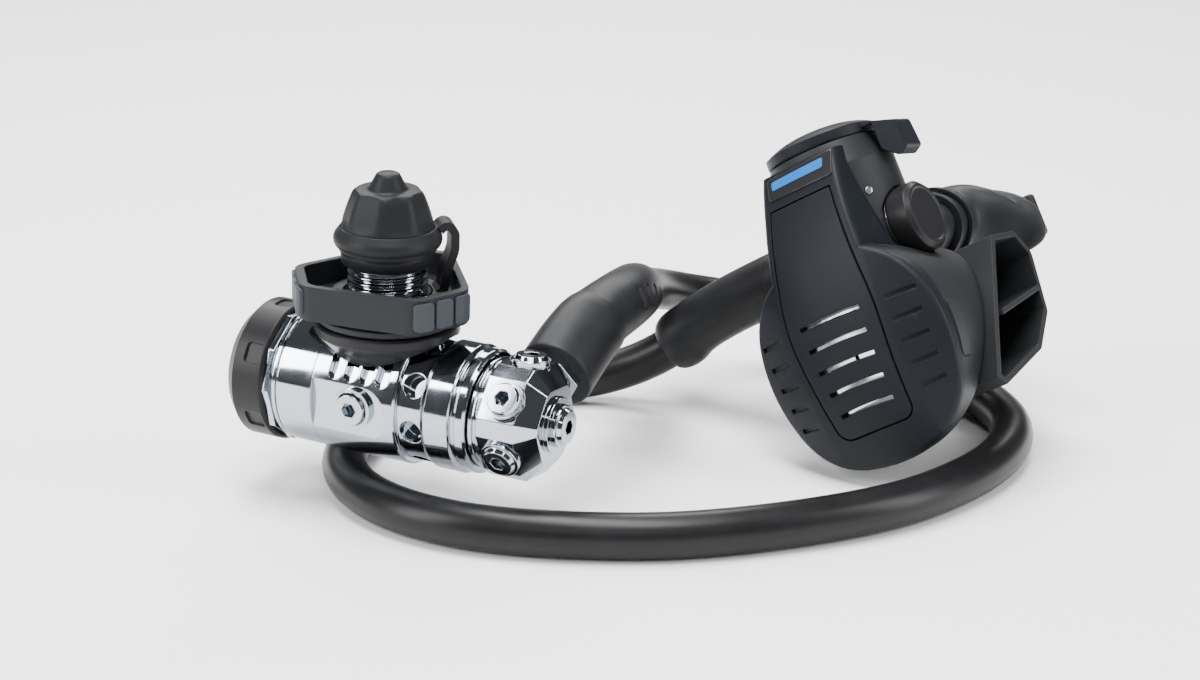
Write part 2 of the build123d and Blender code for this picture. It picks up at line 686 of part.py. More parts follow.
def lower_case_core(inset):
    """Takes the lower case out of what is being built, to leave only what lies round it."""
    with BuildPart(mode=Mode.PRIVATE) as core:
        lower_case(inset)
    add(core.part, mode=Mode.SUBTRACT)


def case_form(inset):
    """The case as one solid form: the pear-shaped lower case cut by its back slope, and the head."""
    lower_case(inset)
    with BuildSketch(Plane.XZ) as head:
        ring_profile([(0, -14.0 + inset), (head_r - inset, -14.0 + inset), (head_r - inset, head_cone_z),
                      (head_top_r - inset, head_top - inset), (0, head_top - inset)])
    revolve(head.sketch, axis=Axis.Z)
    split(bisect_by=back_slope.offset(-inset), keep=Keep.BOTTOM)


with BuildPart() as case_hollow:
    case_form(wall)

# Latch pads: shallow tongues that follow the side of the case
clip_centre = (-18.0, -35.5)
clip_size = (7.0, 17.0)
clip_proud, clip_depth, clip_gap = 0.3, 1.2, 0.2
with BuildPart() as clip_hollow:
    lower_case(clip_depth)

with BuildPart() as cover_clips:
    lower_case(-clip_proud)
    add(clip_hollow.part, mode=Mode.SUBTRACT)
    with BuildSketch(Plane.YZ):
        with Locations(clip_centre):
            RectangleRounded(*clip_size, 1.8)
    extrude(amount=40, both=True, mode=Mode.INTERSECT)
keep(cover_clips, "cover_clips", on_second)

exhaust_centre = (0, 26)
diaphragm_z = -34.0
pin_planes = []
for angle in (-36, -144):
    outward = (math.cos(math.radians(angle)), math.sin(math.radians(angle)), 0)
    pin_planes.append(Plane(origin=(outward[0] * head_r, outward[1] * head_r, 12), z_dir=outward))

knob_seat_x = 16.2
with BuildPart() as knob_cup:
    case_form(0)
    with BuildSketch(Plane.YZ.offset(knob_seat_x - 2.0)):
        Circle(knob_r + 2.6)
    extrude(amount=10, mode=Mode.INTERSECT)

with BuildPart() as case:
    case_form(0)
    with BuildSketch(Plane.YZ.offset(-21.8)):
        Circle(11.0)
    extrude(amount=12)
    with BuildSketch(Plane.YZ.offset(knob_seat_x)):
        Circle(knob_r + 1.0)
    extrude(amount=-10)
    with BuildSketch(Plane.XZ.offset(-17)):
        Ellipse(13.4, 9.8)
    extrude(amount=-(mouth_y + 4 - 17))
    # hollow
    add(case_hollow.part, mode=Mode.SUBTRACT)
    with BuildSketch(Plane.XZ.offset(-rim_y + 0.1)):
        pear_outline(wall)
    extrude(amount=-4, mode=Mode.SUBTRACT)
    # flat seat round the knob, walled off from the inside
    add(knob_cup.part)
    with BuildSketch(Plane.YZ.offset(knob_seat_x)):
        Circle(knob_r + 0.6)
    extrude(amount=8, mode=Mode.SUBTRACT)
    # barrel bore from side to side, airway, exhaust port and lever stem hole
    with BuildSketch(Plane.YZ.offset(-25)):
        Circle(barrel_r + 0.05)
    extrude(amount=42, mode=Mode.SUBTRACT)
    with BuildSketch(Plane.XZ.offset(-15)):
        Ellipse(11.2, 7.6)
    extrude(amount=-40, mode=Mode.SUBTRACT)
    # exhaust port: four windows round a hub that holds the valve
    with BuildSketch(back_slope):
        with Locations(exhaust_centre):
            with PolarLocations(6.4, 4):
                Circle(3.6)
            Circle(1.3)
    extrude(amount=-5, mode=Mode.SUBTRACT)
    with BuildSketch(Plane.XY.offset(20)):
        Circle(4.2)
    extrude(amount=12, mode=Mode.SUBTRACT)
    # shelf and ring that seat the diaphragm
    with BuildSketch(Plane.XZ.offset(18.6)):
        pear_outline(1.0)
        with Locations((0, diaphragm_z)):
            Circle(26.4, mode=Mode.SUBTRACT)
    extrude(amount=-1.5)
    with BuildSketch(Plane.XZ.offset(-rim_y)):
        with Locations((0, diaphragm_z)):
            Circle(28.9)
            Circle(28.1, mode=Mode.SUBTRACT)
    extrude(amount=-4.0)
    # pockets for the two latch pads and holes for the two lock pins
    with BuildPart(mode=Mode.PRIVATE) as pockets:
        with BuildSketch(Plane.YZ):
            with Locations(clip_centre):
                RectangleRounded(clip_size[0] + clip_gap, clip_size[1] + clip_gap, 1.9)
        extrude(amount=40, both=True)
        lower_case_core(clip_depth + 0.05)
    add(pockets.part, mode=Mode.SUBTRACT)
    for plane in pin_planes:
        with BuildSketch(plane):
            Circle(1.15)
        extrude(amount=-4, mode=Mode.SUBTRACT)
keep(case, "case", on_second)

with BuildPart() as lock_pins:
    for plane in pin_planes:
        with BuildSketch(plane.offset(0.3)):
            Circle(1.1)
        extrude(amount=-2.6)
keep(lock_pins, "lock_pins", on_second)

# Front cover: a crowned shell, turned about one axis across the stage, so that every wall of the
# cover, its purge panel and the backing plate follows the same curve
crown_centre = (71.3, -25.7)                          # Y and Z of that axis
crown_r = 104.5                                       # front face on the middle line
crown_section = ((0, 104.5), (8.6, 104.2), (16.8, 103.2))     # X and radius: front face to its edge ...
wing_section = ((16.8, 103.2), (25.2, 100.4), (34.6, 95.6))   # ... and wing, falling away to the rim
column = [(13.4, 27.5), (14.4, 14.0), (17.0, -9.0)]   # half outline of the raised middle column
cover_edge_r = 2.0


def mirrored(half, inset=0.0):
    """A closed outline from its right half, drawn in by the inset on both sides."""
    right = [(x - inset, z) for x, z in half]
    Polygon(*right, *[(-x, z) for x, z in reversed(right)], align=None)


def crown_plane(angle):
    """A plane through the crown's axis: X across the stage, Y out towards the front."""
    turn = math.radians(angle)
    return Plane(origin=(0, *crown_centre), x_dir=(1, 0, 0), z_dir=(0, math.sin(turn), math.cos(turn)))


def crown(inset, depth=24.0):
    """The crowned front as one solid, its walls drawn back by the inset."""
    with BuildSketch(crown_plane(32.5)) as section:
        with BuildLine() as edge:
            for hand in (1, -1):
                for arc in (crown_section, wing_section):
                    ThreePointArc(*[(hand * x, inset - r) for x, r in arc])
            end_x, end_r = wing_section[-1]
            Polyline((end_x, inset - end_r), (end_x, depth - crown_r), (-end_x, depth - crown_r),
                     (-end_x, inset - end_r))
        make_face(edge.edges())
    revolve(section.sketch, axis=Axis((0, *crown_centre), (1, 0, 0)), revolution_arc=65.0)


def crowned_shell(outer_inset, inner_inset):
    """Leaves of what is being built only the shell between two depths under the crown."""
    with BuildPart(mode=Mode.PRIVATE) as outside:
        crown(outer_inset)
    with BuildPart(mode=Mode.PRIVATE) as inside:
        crown(inner_inset)
    add(outside.part, mode=Mode.INTERSECT)
    add(inside.part, mode=Mode.SUBTRACT)


panel_corner_r, panel_waist_r = 4.0, 70.0


def panel_outline(grow=0.0):
    """Purge panel seen from the front: narrow top, wider waist, drawn in and rounded at the foot."""
    mirrored([(10.6, 16.2 + grow), (15.4, -20.0), (12.6, -54.6 - grow)], -grow)
    corners = BuildSketch._get_context().vertices()
    fillet([corner for corner in corners if corner.Y < -40], panel_corner_r + grow)
    corners = BuildSketch._get_context().vertices()
    fillet([corner for corner in corners if -30 < corner.Y < -10], panel_waist_r)


def groove_angle(z):
    """The crown's angle at which its face reaches that height."""
    return math.degrees(math.asin((z - crown_centre[1]) / crown_r))


# The cover as a solid form and its hollow: the front outline with the column, cut by the crown
cover_forms = []
for inset in (0.0, wall):
    with BuildPart() as form:
        with BuildSketch(Plane.XZ.offset(-rim_y)):
            pear_outline(inset)
        extrude(amount=14)
        with BuildSketch(Plane.XZ.offset(10)):
            mirrored(column, inset)
        extrude(amount=26)
        with BuildPart(mode=Mode.PRIVATE) as crowned:
            crown(inset)
        add(crowned.part, mode=Mode.INTERSECT)
    cover_forms.append(form.part)
cover_solid, cover_hollow = cover_forms
rim_edges = [edge for edge in cover_solid.edges()
             if edge.geom_type == GeomType.BSPLINE and edge.center().Y < rim_y - 0.4 and edge.length > 1
             and abs(edge.center().X) + abs(edge.center().Z - diaphragm_z) > 16]
cover_rounded = cover_solid.fillet(cover_edge_r, rim_edges)

panel_gap = 0.5
groove_ends, groove_half_width, groove_depth = (18.6, 27.6), 0.7, 0.9
with BuildPart() as front_cover:
    add(cover_rounded)
    add(cover_hollow, mode=Mode.SUBTRACT)
    # stands on the case's shoulders behind the rim, and clears the head behind the column
    lower_case_core(-0.05)
    with BuildSketch(Plane.XZ):
        ring_profile([(0, -14.0), (head_r + 0.05, -14.0), (head_r + 0.05, head_cone_z),
                      (head_top_r + 0.05, head_top), (0, head_top)])
    revolve(axis=Axis.Z, mode=Mode.SUBTRACT)
    with BuildSketch(Plane.YZ.offset(4)):
        Circle(knob_r + 1.1)
    extrude(amount=20, mode=Mode.SUBTRACT)
    with BuildSketch(Plane.XZ.offset(19.6)):
        panel_outline(panel_gap)
    extrude(amount=20, mode=Mode.SUBTRACT)
    # shallow grooves across both wings, following the crown
    wing_slope = (wing_section[-1][1] - wing_section[0][1]) / (wing_section[-1][0] - wing_section[0][0])
    for row in range(5):
        near, far = groove_ends[0], groove_ends[1] - 0.5 * row
        for hand in (1, -1):
            with BuildSketch(crown_plane(groove_angle(-20.4 - 6.9 * row))):
                Polygon(*[(hand * x, -(wing_section[0][1] + wing_slope * (x - wing_section[0][0]) + r))
                          for x, r in ((near, 0.9 - groove_depth), (far, 0.9 - groove_depth), (far, 6), (near, 6))],
                        align=None)
            extrude(amount=groove_half_width, both=True, mode=Mode.SUBTRACT)
keep(front_cover, "front_cover", on_second)

# Purge panel: hinged at its top edge, five slots, and a pusher that meets the diaphragm
panel_hinge = (-21.6, 14.4)
slot_rise = 0.45                       # the slots bow up at their middle
with BuildPart() as purge_panel:
    with BuildSketch(Plane.XZ.offset(16)):
        panel_outline()
    extrude(amount=24)
    crowned_shell(0, wall)
    for row in range(5):
        slot_z, half = -19.6 - 6.9 * row, 10.6 - 0.35 * row
        with BuildSketch(Plane.XZ.offset(20)):
            with BuildLine():
                ThreePointArc((-half, slot_z - slot_rise), (0, slot_z), (half, slot_z - slot_rise))
            trace(line_width=1.3)
        extrude(amount=20, mode=Mode.SUBTRACT)
    with BuildSketch(Plane.XZ.offset(20.2)):
        with Locations((0, diaphragm_z)):
            Circle(3.0)
    extrude(amount=11.6)
keep(purge_panel, "purge_panel", on_second)

# Bright backing plate that shows through the slots
plate_thick = 0.6
with BuildPart() as backing_plate:
    with BuildSketch(Plane.XZ.offset(20)):
        mirrored([(13.6, -16.5), (11.6, -51.5)])
        with Locations((0, diaphragm_z)):
            Circle(3.05, mode=Mode.SUBTRACT)
    extrude(amount=20)
    crowned_shell(wall, wall + plate_thick)
keep(backing_plate, "backing_plate", on_second)

# ================================================================ second stage: diaphragm and valve

with BuildPart() as diaphragm:
    with BuildSketch(Plane.XY):
        ring_profile([(0, -19.8), (18.0, -19.8), (20.0, -18.9), (22.4, -18.9), (24.0, -19.8), (28.0, -19.8),
                      (28.0, -18.7), (24.6, -18.7), (23.0, -17.9), (19.4, -17.9), (17.6, -19.0), (0, -19.0)])
    revolve(axis=Axis.Y)
keep(diaphragm, "diaphragm", Location(on_second) * Location((0, 0, diaphragm_z)))

with BuildPart() as diaphragm_disc:
    with BuildSketch(Plane.XZ.offset(18.9)):
        Circle(16.5)
    extrude(amount=-0.7)
keep(diaphragm_disc, "diaphragm_disc", Location(on_second) * Location((0, 0, diaphragm_z)))

with BuildPart() as clamp_ring:
    with BuildSketch(Plane.XZ.offset(19.9)):
        Circle(27.9)
        Circle(25.4, mode=Mode.SUBTRACT)
    extrude(amount=2.0)
keep(clamp_ring, "clamp_ring", Location(on_second) * Location((0, 0, diaphragm_z)))

with BuildPart() as purge_spring:
    coil_spring(-27.5, -20.4, 5.0, 0.5, 6)
keep(purge_spring, "purge_spring", Location(on_second) * Location((0, 0, diaphragm_z)) * Location((0, 0, 0), (0, 0, 90)))

# Valve barrel: plated brass tube across the head, threaded for the hose nut on its left end
with BuildPart() as valve_barrel:
    with BuildSketch(Plane.XY):
        ring_profile([(-27.6, 4.6), (-27.6, 6.5), (-21.9, 6.5), (-21.9, barrel_r), (14.0, barrel_r), (14.0, 5.5),
                      (-21.5, 5.5), (-21.5, 4.6)])
    revolve(axis=Axis.X)
    with BuildSketch(Plane.XY.offset(-9)):
        with Locations((0, -2.0)):
            Rectangle(4.4, 7.6)
    extrude(amount=5, mode=Mode.SUBTRACT)
    with BuildSketch(Plane.XZ.offset(-4)):
        Circle(2.5)
    extrude(amount=-5, mode=Mode.SUBTRACT)
keep(valve_barrel, "valve_barrel", on_second)

with BuildPart() as seat_orifice:
    with BuildSketch(Plane.XY):
        ring_profile([(-21.0, 1.8), (-21.0, 5.4), (-12.0, 5.4), (-12.0, 3.2), (-10.0, 2.6), (-10.0, 1.8)])
    revolve(axis=Axis.X)
keep(seat_orifice, "seat_orifice", on_second)

with BuildPart() as demand_poppet:
    with BuildSketch(Plane.XY):
        ring_profile([(-9.9, 0), (-9.9, 4.4), (-7.2, 4.4), (-7.2, 2.4), (-2.6, 2.4), (-1.8, 3.8), (1.8, 3.8),
                      (2.6, 2.4), (5.0, 2.4), (5.0, 0)])
    revolve(axis=Axis.X)
keep(demand_poppet, "demand_poppet", on_second)

with BuildPart() as valve_spring:
    coil_spring(2.7, 8.0, 3.6, 0.5, 5)
keep(valve_spring, "valve_spring", on_second)

with BuildPart() as adjust_spindle:
    with BuildSketch(Plane.XY):
        ring_profile([(8.1, 0), (8.1, 5.4), (12.6, 5.4), (12.6, 2.5), (22.0, 2.5), (22.0, 0)])
    revolve(axis=Axis.X)
keep(adjust_spindle, "adjust_spindle", on_second)

# Effort knob: turned edge, shallow dished face, bright ring behind it
with BuildPart() as effort_knob:
    with BuildSketch(Plane.XY):
        ring_profile([(17.2, 2.6), (17.2, knob_r - 0.3), (17.9, knob_r), (24.0, knob_r), (25.4, 9.3),
                      (25.4, 8.6), (25.0, 8.0), (25.0, 0), (22.3, 0), (22.3, 2.6)])
    revolve(axis=Axis.X)
keep(effort_knob, "effort_knob", on_second)

with BuildPart() as knob_ring:
    with BuildSketch(Plane.YZ.offset(16.5)):
        Circle(knob_r - 0.5)
        Circle(2.6, mode=Mode.SUBTRACT)
    extrude(amount=0.7)
keep(knob_ring, "knob_ring", on_second)

# Demand lever: an eye on the barrel's underside, a long arm to the diaphragm and a short foot
lever_pivot = (-4.0, -11.2)
lever_tip = (-16.4, -31.0)
with BuildPart() as demand_lever:
    with BuildSketch(Plane.YZ.offset(-1.5)):
        Polygon((-5.2, -12.6), (-16.9, -30.6), (-15.6, -31.6), (-2.6, -12.2), align=None)
        with Locations(lever_pivot):
            Circle(2.0)
        with Locations(lever_tip):
            Circle(1.1)
        Polygon((-4.8, -10.2), (-1.4, -4.6), (0.4, -5.4), (-2.4, -11.6), align=None)
    extrude(amount=3.0)
    with BuildSketch(Plane.YZ.offset(-2.0)):
        with Locations(lever_pivot):
            Circle(0.85)
    extrude(amount=4.0, mode=Mode.SUBTRACT)
keep(demand_lever, "demand_lever", on_second)

with BuildPart() as lever_pin:
    with BuildSketch(Plane.YZ.offset(-5.0)):
        with Locations(lever_pivot):
            Circle(0.8)
    extrude(amount=10.0)
    for end in (-5.0, 3.4):
        with BuildSketch(Plane.YZ.offset(end)):
            with Locations((lever_pivot[0], lever_pivot[1] + 1.6)):
                Rectangle(3.2, 6.0)
        extrude(amount=1.6)
    with BuildSketch(Plane.YZ.offset(-6)):
        Circle(barrel_r + 0.02)
    extrude(amount=12, mode=Mode.SUBTRACT)
keep(lever_pin, "lever_pin", on_second)

# ================================================================ second stage: airflow lever, tee and mouthpiece

tab_angle, tab_half = 5.0, 5.4
with BuildPart() as venturi_lever:
    with BuildSketch(Plane.XZ):
        with BuildLine():
            Polyline((4.0, 36.2), (0, 36.2), (0, 29.9), (17.2, 29.9), (17.4, 30.4), (17.4, 33.0))
            ThreePointArc((17.4, 33.0), (12.0, 35.2), (4.0, 36.2))
        make_face()
    revolve(axis=Axis.Z)
    with BuildSketch(Plane.XZ.rotated((0, 0, tab_angle))) as tab:
        Polygon((14.0, 31.0), (14.0, 33.4), (17.6, 32.6), (27.4, 29.2), (28.2, 20.4), (25.0, 18.6),
                (20.2, 22.6), (20.0, 31.0), align=None)
        fillet([corner for corner in tab.vertices() if corner.X > 24], 1.4)
    extrude(amount=tab_half, both=True)
    with BuildSketch(Plane.XY.offset(23.5)):
        Circle(4.1)
    extrude(amount=6.5)
keep(venturi_lever, "venturi_lever", on_second)

vane_middle = 75.0
with BuildPart() as venturi_vane:
    with BuildSketch(Plane.XY.offset(20.0)):
        Circle(15.4)
    extrude(amount=1.6)
    with BuildSketch(Plane.XY.offset(20.0)):
        Circle(4.1)
    extrude(amount=3.5)
    with BuildSketch(Plane.XY.offset(-7.0)):
        Circle(15.4)
        Circle(13.8, mode=Mode.SUBTRACT)
        with PolarLocations(0, 1, start_angle=vane_middle):
            Polygon((0, 0), (20, 6.5), (20, -6.5), align=None, mode=Mode.INTERSECT)
    extrude(amount=27.0)
keep(venturi_vane, "venturi_vane", on_second)

# Exhaust tee: wide hood on the back slope, open at both ends, each outlet split by a web
tee_half = 32.0
tee_wall, tee_corner_r = 1.8, 3.4
tee_outline = [(19.6, -11.6), (35.0, -11.6), (41.0, -19.0), (36.5, -38.0), (23.0, -48.5), (-6.0, -55.5),
               (-9.9, -52.6)]
with BuildPart() as exhaust_tee:
    with BuildSketch(Plane.YZ.offset(-tee_half)):
        hood_outline()
    extrude(amount=2 * tee_half)
    with BuildSketch(Plane.YZ.offset(-tee_half)):
        hood_outline(tee_wall)
    extrude(amount=2 * tee_half, mode=Mode.SUBTRACT)
    with BuildSketch(back_slope.offset(-2)):
        with Locations(exhaust_centre):
            Circle(13.6)
    extrude(amount=8, mode=Mode.SUBTRACT)
    for hand in (1, -1):
        with BuildSketch(Plane.YZ.offset(hand * 15.0)):
            Polygon((8.0, -35.6), (37.6, -30.9), (37.6, -29.3), (8.6, -34.0), align=None)
        extrude(amount=hand * (tee_half - 15.0))
keep(exhaust_tee, "exhaust_tee", on_second)

with BuildPart() as exhaust_valve:
    with BuildSketch(back_slope.offset(0.1)):
        with Locations(exhaust_centre):
            Circle(12.6)
    extrude(amount=0.9)
    with BuildSketch(back_slope.offset(-3.4)):
        with Locations(exhaust_centre):
            Circle(1.25)
    extrude(amount=3.6)
keep(exhaust_valve, "exhaust_valve", on_second)

# Mouthpiece: soft moulding over the case's tube, flaring to a lip flange with two bite lugs;
# each section is its distance, half width, half height and drop below the tube's axis
mouth_root, mouth_neck = (38.0, 15.6, 12.0, 0.0), (50.0, 15.2, 11.6, 0.0)
mouth_bulge, mouth_flare = (56.0, 21.5, 12.2, 0.8), (61.0, 24.0, 10.5, 3.0)
flange_y, flange_drop = 61.0, 4.5
with BuildPart() as mouthpiece:
    for stretch in ((mouth_root, mouth_neck), (mouth_neck, mouth_bulge), (mouth_bulge, mouth_flare)):
        for y, wide, tall, drop in stretch:
            with BuildSketch(Plane.XZ.offset(-y)):
                with Locations((0, -drop)):
                    Ellipse(wide, tall)
        loft()
    with BuildSketch(Plane.XZ.offset(-flange_y)):
        with Locations((0, -flange_drop)):
            RectangleRounded(57.0, 24.0, 11.0)
    extrude(amount=-3.0)
    for hand in (1, -1):
        with BuildSketch(Plane.XZ.offset(-flange_y - 3.0)):
            with Locations((hand * 20.0, -flange_drop)):
                RectangleRounded(6.0, 9.0, 2.0)
        extrude(amount=-9.0)
        with BuildSketch(Plane.XZ.offset(-flange_y - 12.0)):
            with Locations((hand * 20.0, -flange_drop)):
                RectangleRounded(7.5, 14.0, 2.5)
        extrude(amount=-3.5)
    with BuildSketch(Plane.XZ.offset(-38.0)):
        Ellipse(13.5, 9.9)
    extrude(amount=-10.2, mode=Mode.SUBTRACT)
    for y, wide, tall, drop in ((48.2, 11.2, 7.6, 0.0), (64.0, 14.5, 6.6, 3.0)):
        with BuildSketch(Plane.XZ.offset(-y)):
            with Locations((0, -drop)):
                Ellipse(wide, tall)
    loft(mode=Mode.SUBTRACT)
keep(mouthpiece, "mouthpiece", on_second)

with BuildPart() as mouthpiece_tie:
    with BuildSketch(Plane.XZ.offset(-mouth_y + 1.6)):
        Ellipse(17.0, 13.4)
        Ellipse(15.7, 12.1, mode=Mode.SUBTRACT)
    extrude(amount=-3.2)
keep(mouthpiece_tie, "mouthpiece_tie", on_second)
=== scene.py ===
import json
import math

import bmesh
import bpy
from mathutils import Matrix, Vector


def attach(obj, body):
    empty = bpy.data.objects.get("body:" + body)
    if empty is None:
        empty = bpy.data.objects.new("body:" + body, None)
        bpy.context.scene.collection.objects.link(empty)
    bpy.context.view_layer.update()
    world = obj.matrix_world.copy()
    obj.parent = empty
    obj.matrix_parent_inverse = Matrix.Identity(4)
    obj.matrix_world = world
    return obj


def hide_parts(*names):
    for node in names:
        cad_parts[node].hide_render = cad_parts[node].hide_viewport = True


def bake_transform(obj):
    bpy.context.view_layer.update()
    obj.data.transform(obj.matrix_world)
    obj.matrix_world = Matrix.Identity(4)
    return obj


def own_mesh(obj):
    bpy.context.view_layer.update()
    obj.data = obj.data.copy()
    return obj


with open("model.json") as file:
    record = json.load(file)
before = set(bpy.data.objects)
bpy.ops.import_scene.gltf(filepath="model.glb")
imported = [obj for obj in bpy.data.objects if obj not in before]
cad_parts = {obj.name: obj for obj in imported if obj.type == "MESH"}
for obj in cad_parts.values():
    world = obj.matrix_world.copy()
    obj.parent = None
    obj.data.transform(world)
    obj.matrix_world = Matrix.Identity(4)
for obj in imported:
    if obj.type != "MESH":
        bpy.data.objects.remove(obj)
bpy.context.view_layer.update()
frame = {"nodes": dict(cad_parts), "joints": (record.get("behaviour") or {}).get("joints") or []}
nodes = frame["nodes"]
mm = 0.001

# ------------------------------------------------------------------ camera
# A short telephoto, a little above the set and looking down on it from the front. Its height and
# distance give the slight drop of every line that runs towards the viewer.
view_width_px, focal_px = 1200, 2376
down_tilt = 18.5
camera_data = bpy.data.cameras.new("camera")
camera_data.sensor_width = 36.0
camera_data.lens = camera_data.sensor_width * focal_px / view_width_px
camera = bpy.data.objects.new("camera", camera_data)
camera.location = (-17.3 * mm, -681.6 * mm, 262.0 * mm)
camera.rotation_euler = (math.radians(90 - down_tilt), 0, 0)
bpy.context.scene.collection.objects.link(camera)
bpy.context.scene.camera = camera


# ------------------------------------------------------------------ low-pressure hose
# Extruded black rubber, 13 mm outside. It leaves the turret's port, lies on the ground as one loop,
# and rises to the second stage, where a swivel nut holds it.
joints = {joint["name"]: joint for joint in frame["joints"]}


def stage_frame(swivel, upright):
    """A stage's own frame, from the axis that runs along it and the one that stands up from it."""
    along = Vector(joints[swivel]["axis"]).normalized()
    up = Vector(joints[upright]["axis"]).normalized()
    place = Matrix((along, up.cross(along), up)).transposed().to_4x4()
    place.translation = joints[swivel]["pos_m"]
    return place


# first stage: X along the body to the turret, Z up the inlet. Second: X along the valve, Z up the head
first_stage = stage_frame("turret_swivel", "wheel_turn")
second_stage = stage_frame("second_stage_swivel", "airflow_swing")


class Value:
    """A socket with arithmetic: an expression on values adds its Math nodes to the material."""

    def __init__(self, paint, socket):
        self.paint, self.socket = paint, socket

    def maths(self, operation, first, second):
        return self.paint.node("ShaderNodeMath", {"operation": operation}, {0: first, 1: second})

    def __add__(self, other):
        return self.maths("ADD", self, other)

    def __radd__(self, other):
        return self.maths("ADD", other, self)

    def __mul__(self, other):
        return self.maths("MULTIPLY", self, other)

    def above(self, edge, softness):
        """0 below the edge and 1 above it, over a soft step."""
        return self.paint.node("ShaderNodeMapRange", {"interpolation_type": "SMOOTHSTEP"},
                               {0: self, 1: edge - softness, 2: edge + softness})


class Paint:
    """One material: its nodes, its Principled shader and the coordinates of the object."""

    def __init__(self, name, **shader_values):
        self.material = bpy.data.materials.new(name)
        self.material.use_nodes = True
        self.tree = self.material.node_tree
        self.shader = self.tree.nodes["Principled BSDF"]
        for socket, value in shader_values.items():
            self.shader.inputs[socket.replace("_", " ")].default_value = value

    def node(self, kind, settings=None, sockets=None, output=0):
        made = self.tree.nodes.new(kind)
        for name, value in (settings or {}).items():
            setattr(made, name, value)
        for name, value in (sockets or {}).items():
            self.feed(made.inputs[name], value)
        return Value(self, made.outputs[output])

    def feed(self, socket, value):
        if isinstance(value, Value):
            self.tree.links.new(value.socket, socket)
        else:
            socket.default_value = value

    def set(self, socket, value):
        self.feed(self.shader.inputs[socket], value)

    def coordinates(self, place=None):
        """Object coordinates, or those of a stage's own frame."""
        point = self.node("ShaderNodeTexCoord", output=3)
        if place is None:
            return point
        inverse = place.inverted()
        return self.node("ShaderNodeMapping", {}, {
            "Vector": point, "Location": inverse.translation, "Rotation": inverse.to_euler()})

    def grain(self, point, size, detail=2.0, roughness=0.5):
        """Noise from 0 to 1 with features of that size in metres."""
        return self.node("ShaderNodeTexNoise", {}, {
            "Vector": point, "Scale": 1 / size, "Detail": detail, "Roughness": roughness})

    def mix(self, factor, first, second):
        return self.node("ShaderNodeMix", {"data_type": "RGBA"}, {0: factor, 6: first, 7: second}, output=2)

    def relief(self, height, depth, normal=None):
        sockets = {"Height": height, "Distance": depth, "Strength": 1.0}
        if normal is not None:
            sockets["Normal"] = normal
        return self.node("ShaderNodeBump", {}, sockets)

    def rounded_edges(self, radius):
        return self.node("ShaderNodeBevel", {"samples": 6}, {"Radius": radius})


def moulded_rubber(name, colour, worn, rough, grain_size, depth, gloss=0.16):
    """Black rubber: a cloudy bloom, a fine skin and softened edges."""
    paint = Paint(name, Specular_IOR_Level=gloss)
    point = paint.coordinates()
    cloud = paint.grain(point, 22 * mm, 3.0, 0.6)
    fine = paint.grain(point, grain_size, 3.0, 0.7)
    bloom = (cloud * 0.7 + fine * 0.3).above(0.56, 0.2)
    paint.set("Base Color", paint.mix(bloom, (*colour, 1), (*worn, 1)))
    paint.set("Roughness", rough + cloud * 0.12 + fine * 0.05)
    paint.set("Normal", paint.relief(fine, depth, paint.rounded_edges(0.35 * mm)))
    return paint.material


hose_rubber = moulded_rubber("hose rubber", (0.0055, 0.0055, 0.006), (0.010, 0.010, 0.011), 0.27,
                             0.5 * mm, 0.012 * mm, 0.20)

hose_diameter = 13 * mm
port_angle, port_along, port_reach = math.radians(156.0), 45 * mm, 26 * mm
nut_end = 31 * mm


def port_point(reach):
    """A point on the axis of the hose's port in the turret, that far from the turret's axis."""
    return first_stage @ Vector((port_along, -math.cos(port_angle) * reach, math.sin(port_angle) * reach))


ground_shift = Vector((-17.31 * mm, -17.77 * mm, -0.09 * mm))
laid = 6.59     # height of the axis where the hose lies on the ground, before the shift
rise_and_loop = [
    (7.6, 8.6, 50.2), (11.8, 34.0, 45.3), (18.0, 59.0, 37.8), (32.5, 78.0, 29.4), (56.0, 86.5, 23.5),
    (81.5, 82.0, 16.5), (104.5, 66.0, 9.5), (121.5, 43.5, laid), (127.3, 15.2, laid), (117.6, -13.0, laid),
    (94.3, -38.9, laid), (70.9, -53.4, laid), (35.6, -65.6, laid), (8.2, -69.1, laid), (-27.2, -65.2, laid),
    (-50.4, -55.0, laid), (-67.6, -38.1, laid), (-76.2, -15.6, laid), (-74.1, 8.4, laid),
    (-59.5, 33.4, laid), (-45.4, 45.4, laid), (-18.3, 56.2, laid), (3.3, 56.4, 9.4), (22.3, 52.1, 19.3)]
hose_points = ([port_point(port_reach), port_point(port_reach + 15 * mm)]
               + [Vector(point) * mm + ground_shift for point in rise_and_loop]
               + [second_stage @ Vector((-58 * mm, 0, 0)), second_stage @ Vector((-nut_end, 0, 0))])

hose_curve = bpy.data.curves.new("hose_line", "CURVE")
hose_curve.dimensions = "3D"
hose_curve.bevel_depth = hose_diameter / 2
hose_curve.bevel_resolution = 8
hose_curve.resolution_u = 16
hose_curve.use_fill_caps = True
spline = hose_curve.splines.new("NURBS")
spline.points.add(len(hose_points) - 1)
for control, point in zip(spline.points, hose_points):
    control.co = (*point, 1)
spline.order_u = 3
spline.use_endpoint_u = True
spline.use_smooth = True
hose_curve.materials.append(hose_rubber)
hose = bpy.data.objects.new("low_pressure_hose", hose_curve)
bpy.context.scene.collection.objects.link(hose)
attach(hose, "hose_line")
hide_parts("hose")


